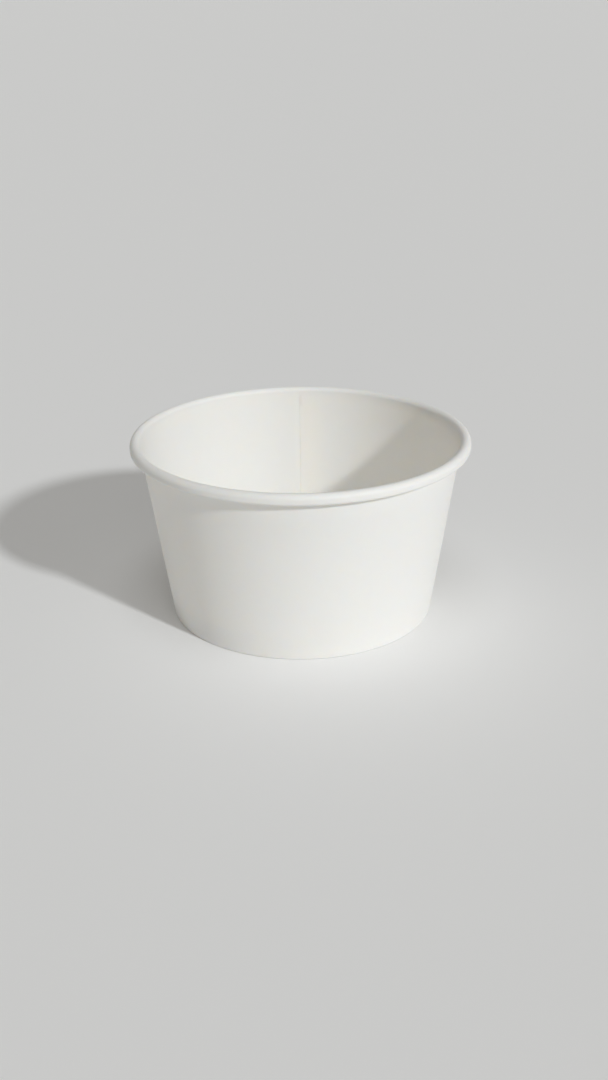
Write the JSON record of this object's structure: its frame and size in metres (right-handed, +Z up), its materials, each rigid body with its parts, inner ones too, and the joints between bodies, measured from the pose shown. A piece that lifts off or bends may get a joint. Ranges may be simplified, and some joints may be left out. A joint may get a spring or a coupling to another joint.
{
  "type": "paper food container",
  "caption": "Round white paper tub for food, with a rolled rim, a lapped side seam and a raised base held in a folded hem.",
  "frame": {"origin": "on the floor, at the middle of the foot", "axes": "+Z up along the tub's axis to the rim, +Y towards the side seam"},
  "size_m": [0.115, 0.115, 0.062],
  "materials": {
    "wall_board": "matte",
    "base_board": "matte"
  },
  "bodies": {
    "root": {"sidewall": "wall_board", "base_disc": "base_board"}
  },
  "joints": []
}
